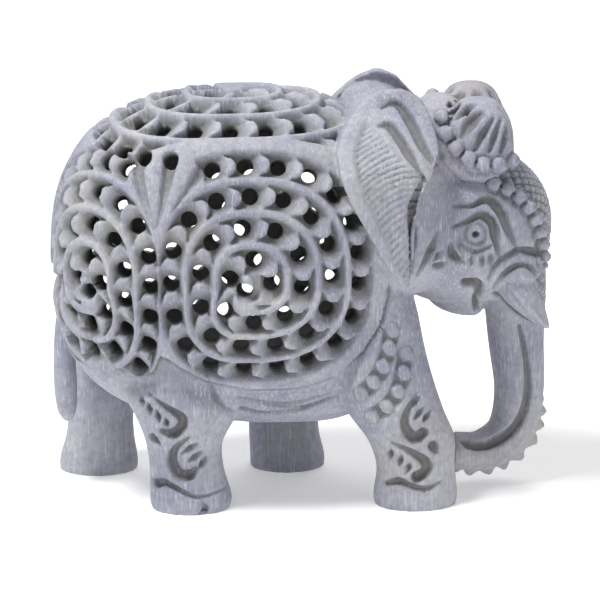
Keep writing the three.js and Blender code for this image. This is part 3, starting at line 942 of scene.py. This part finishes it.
def cut_with(made, tool):
    cut = made.modifiers.new("cut", "BOOLEAN")
    cut.operation = "DIFFERENCE"
    cut.solver = "MANIFOLD"
    cut.object = tool
    apply_modifiers(made)
    bpy.data.objects.remove(tool)


def hollow_out(made, sides, top):
    """Cuts the hollow, one wall in from the barrel's skin, and then the holes that open into it."""
    hollow = bmesh.new()
    back, front, side, up, down = barrel.ends
    inside = Block(barrel.centre, back=back - WALL, front=front - WALL * 2, side=side - WALL, up=up - WALL,
                   down=down - BELLY_FLOOR, power=barrel.power)
    add_block(hollow, inside, rows=30)
    cut_with(made, as_object(hollow, "hollow"))
    drills = bmesh.new()
    for side, coils in sides.items():
        for coil in coils:
            for x, y in coil.holes():
                point, normal = coil.patch.at(x, y)
                add_drill(drills, point * (1, -side, 1), normal * (1, -side, 1))
    for x, z in FAN_AND_EYE_HOLES:
        point, normal = skin_at(x, z)
        for side in (1, -1):
            add_drill(drills, point * (1, side, 1), normal * (1, side, 1))
    for x, y in top.holes():
        point, normal = top.patch.at(x, y)
        add_drill(drills, point, normal)
    cut_with(made, as_object(drills, "drills"))


FAR_SIDE_SLIP = 0.5


def carve():
    """The carved stone, with its vertices' places before the cuts and their recess."""
    made = as_object(raw_form(), "elephant_stone")
    fuse(made)
    places = mesh_places(made.data)
    places[:, 2] = np.maximum(places[:, 2], 0)
    set_mesh_places(made.data, places)
    patches["flank"] = Patch(FLANK_MIDDLE, (0, 0, 1))
    patches["rump"] = Patch(RUMP_MIDDLE, (0, 0, 1))
    patches["saddle"] = Patch(SADDLE_MIDDLE, (0, 1, 0))
    sides = {-1: make_coils(0.0), 1: make_coils(FAR_SIDE_SLIP)}
    top = Coil(patches["saddle"], arms=4, inner=5.0, spacing=7.6, pitch=8.8, cut=80, start=75,
               stretch=(1.3, 1.3, 1.0, 1.0), power=2.6, inside=saddle_outline, hand=-1)
    recess = carve_openwork(places, sides, top)
    set_mesh_places(made.data, places)
    for carve_more in (carve_ears, carve_crown, carve_brow_panel, carve_sides):
        carve_more(places, mesh_normals(made.data), recess)
        set_mesh_places(made.data, places)
    carve_fringe(places, mesh_normals(made.data))
    edge = np.array([shift, 0, 0])
    places[:] = np.clip(places, low - edge + BOX_GAP, high - edge - BOX_GAP)
    places[:, 2] = np.maximum(places[:, 2] - BOX_GAP, 0)
    set_mesh_places(made.data, places)
    hollow_out(made, sides, top)
    return made, places, recess


TRIANGLE_LIMIT = 190_000


def thin_out(made):
    triangles = sum(len(face.vertices) - 2 for face in made.data.polygons)
    if triangles > TRIANGLE_LIMIT:
        thin = made.modifiers.new("thin", "DECIMATE")
        thin.ratio = TRIANGLE_LIMIT / triangles
        apply_modifiers(made)


def keep_recess(made, places, recess):
    """Gives each vertex the recess, its share of painted shade, of its nearest carved place; cut walls and
    the hollow count as deep and get full painted shade.
    """
    tree = KDTree(len(places))
    for index, place in enumerate(places):
        tree.insert(place, index)
    tree.balance()
    final = mesh_places(made.data)
    values = np.empty(len(final))
    for index, place in enumerate(final):
        _, nearest, gap = tree.find(place)
        values[index] = recess[nearest] if gap < VOXEL * 1.5 else 1.0
    layer = made.data.attributes.new("recess", "FLOAT", "POINT")
    layer.data.foreach_set("value", values)


def into_frame(made):
    places = mesh_places(made.data)
    places[:, 0] += shift
    set_mesh_places(made.data, places * MM)
    made.data.shade_smooth()


# Soapstone: lilac-grey, with faint veins, pale tool marks, warm patches and painted shade in the recesses

BLUE_GREY = (0.25, 0.26, 0.33, 1)
LILAC_GREY = (0.35, 0.355, 0.41, 1)
PALE_GREY = (0.44, 0.445, 0.46, 1)
VEIN_TINT = (0.78, 0.80, 0.9, 1)
SCRATCHED = (0.64, 0.64, 0.66, 1)
SPECKLE = (0.8, 0.8, 0.82, 1)
WARM_PATCH = (0.36, 0.31, 0.27, 1)
# Near-black brown painted into the recesses as shade, and with some patina onto the far front leg's inner
# face
PAINTED_SHADE_AND_PATINA = (0.1, 0.098, 0.08, 1)
FAINT, HALF, MOSTLY = ((share, share, share, 1) for share in (0.4, 0.5, 0.8))

# The numbers of a Mix node's colour sockets, which share their names with its other ones
MIX_SHARE, MIX_FIRST, MIX_SECOND = 0, 6, 7
MIX_RESULT = 2


def link(tree, start, end):
    tree.links.new(start, end)


def soapstone():
    material = bpy.data.materials.new("soapstone")
    material.use_nodes = True
    tree = material.node_tree
    nodes = tree.nodes
    shader = nodes["Principled BSDF"]
    shader.inputs["Roughness"].default_value = 0.62
    shader.inputs["Specular IOR Level"].default_value = 0.35
    shader.inputs["Subsurface Weight"].default_value = 0.0
    place = nodes.new("ShaderNodeTexCoord")
    black, white = (0, 0, 0, 1), (1, 1, 1, 1)

    def noise(scale, detail, stretch=(1, 1, 1), lean=0.0):
        """Noise on object coordinates that are stretched and leant first."""
        turn = nodes.new("ShaderNodeMapping")
        turn.inputs["Scale"].default_value = stretch
        turn.inputs["Rotation"].default_value = (0, lean, 0)
        link(tree, place.outputs["Object"], turn.inputs["Vector"])
        texture = nodes.new("ShaderNodeTexNoise")
        texture.inputs["Scale"].default_value = scale
        texture.inputs["Detail"].default_value = detail
        link(tree, turn.outputs["Vector"], texture.inputs["Vector"])
        return texture.outputs["Fac"]

    def ramp(value, stops):
        made = nodes.new("ShaderNodeValToRGB")
        elements = made.color_ramp.elements
        elements[0].position, elements[0].color = stops[0]
        elements[1].position, elements[1].color = stops[-1]
        for position, colour in stops[1:-1]:
            elements.new(position).color = colour
        link(tree, value, made.inputs["Fac"])
        return made.outputs["Color"]

    def mixed(kind, share, first, second):
        """The second colour over the first. A share or colour is a constant or another node's output."""
        made = nodes.new("ShaderNodeMix")
        made.data_type = "RGBA"
        made.blend_type = kind
        for number, value in ((MIX_SHARE, share), (MIX_FIRST, first), (MIX_SECOND, second)):
            if isinstance(value, (float, tuple)):
                made.inputs[number].default_value = value
            else:
                link(tree, value, made.inputs[number])
        return made.outputs[MIX_RESULT]

    base = ramp(noise(38, 5), [(0.3, BLUE_GREY), (0.5, LILAC_GREY), (0.72, PALE_GREY)])
    veins = ramp(noise(90, 8, (1, 1, 1.6)), [(0.44, white), (0.5, VEIN_TINT), (0.56, white)])
    colour = mixed("MULTIPLY", 0.5, base, veins)
    upright_marks = noise(2400, 2, (1, 1, 0.07))
    leaning_marks = noise(2400, 2, (1, 1, 0.07), lean=0.7)
    region = ramp(noise(45, 1), [(0.45, black), (0.55, white)])
    marks = mixed("MIX", region, upright_marks, leaning_marks)
    scratches = ramp(marks, [(0.52, black), (0.72, white)])
    colour = mixed("MIX", mixed("MULTIPLY", 1.0, scratches, HALF), colour, SCRATCHED)
    speckle = ramp(noise(700, 4), [(0.35, SPECKLE), (0.6, white)])
    colour = mixed("MULTIPLY", 0.8, colour, speckle)
    warm = ramp(noise(26, 3), [(0.58, black), (0.72, white)])
    colour = mixed("MIX", mixed("MULTIPLY", 1.0, warm, FAINT), colour, WARM_PATCH)
    # Painted shade: the recess attribute darkens carved hollows, grooves, drill walls, the hollow and the
    # line under the hem
    deep = nodes.new("ShaderNodeAttribute")
    deep.attribute_name = "recess"
    darkened = ramp(deep.outputs["Fac"], [(0.15, black), (1.0, MOSTLY)])
    colour = mixed("MIX", darkened, colour, PAINTED_SHADE_AND_PATINA)
    link(tree, colour, shader.inputs["Base Color"])

    bump = nodes.new("ShaderNodeBump")
    bump.inputs["Strength"].default_value = 0.6
    bump.inputs["Distance"].default_value = 0.0003
    link(tree, marks, bump.inputs["Height"])
    link(tree, bump.outputs["Normal"], shader.inputs["Normal"])
    return material


# Floor, light and camera

IMAGE_PIXELS = 600
PIXELS_PER_MM = 4.0
AZIMUTH = math.radians(-3)
ELEVATION = math.radians(16)
LENS = 200
SENSOR = 36
AIM = (0.0, 0.0, 48.4)
FLOOR_HALF_METRES = 3
LAMP_AIM_METRES = (0, 0, 0.05)


def add_stage():
    bm = bmesh.new()
    bmesh.ops.create_grid(bm, x_segments=1, y_segments=1, size=FLOOR_HALF_METRES)
    floor = as_object(bm, "floor")
    pale = bpy.data.materials.new("pale_floor")
    pale.use_nodes = True
    shader = pale.node_tree.nodes["Principled BSDF"]
    shader.inputs["Base Color"].default_value = (0.95, 0.95, 0.95, 1)
    shader.inputs["Roughness"].default_value = 0.9
    shader.inputs["Emission Color"].default_value = (1, 1, 1, 1)
    shader.inputs["Emission Strength"].default_value = 0.24
    floor.data.materials.append(pale)


def add_light(name, place, size, power):
    data = bpy.data.lights.new(name, "AREA")
    data.size = size
    data.energy = power
    lamp = bpy.data.objects.new(name, data)
    bpy.context.scene.collection.objects.link(lamp)
    lamp.location = place
    lamp.rotation_mode = "QUATERNION"
    lamp.rotation_quaternion = (Vector(LAMP_AIM_METRES) - lamp.location).to_track_quat("-Z", "Y")


def add_lights():
    add_light("key", (-0.34, -0.2, 0.88), size=0.25, power=9.0)
    add_light("fill", (0.5, -0.7, 0.3), size=0.5, power=1.2)
    add_light("back", (0.1, 0.55, 0.85), size=0.6, power=3.2)
    world = bpy.data.worlds.new("studio")
    world.use_nodes = True
    world.node_tree.nodes["Background"].inputs["Color"].default_value = (1, 1, 1, 1)
    world.node_tree.nodes["Background"].inputs["Strength"].default_value = 0.31
    bpy.context.scene.world = world


def add_camera():
    data = bpy.data.cameras.new("camera")
    data.lens = LENS
    data.sensor_width = SENSOR
    camera = bpy.data.objects.new("camera", data)
    bpy.context.scene.collection.objects.link(camera)
    back = Vector((math.sin(AZIMUTH) * math.cos(ELEVATION), -math.cos(AZIMUTH) * math.cos(ELEVATION),
                   math.sin(ELEVATION)))
    distance = IMAGE_PIXELS * LENS / SENSOR / PIXELS_PER_MM
    aim = Vector(AIM) + Vector((shift, 0, 0))
    camera.location = (aim + back * distance) * MM
    camera.rotation_mode = "QUATERNION"
    camera.rotation_quaternion = (-back).to_track_quat("-Z", "Y")
    bpy.context.scene.camera = camera


stone, carved_places, carved_recess = carve()
thin_out(stone)
keep_recess(stone, carved_places, carved_recess)
into_frame(stone)
stone.data.materials.clear()
stone.data.materials.append(soapstone())
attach(stone, "root")
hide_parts("elephant")
add_stage()
add_lights()
add_camera()
bpy.context.scene.view_settings.view_transform = "Standard"
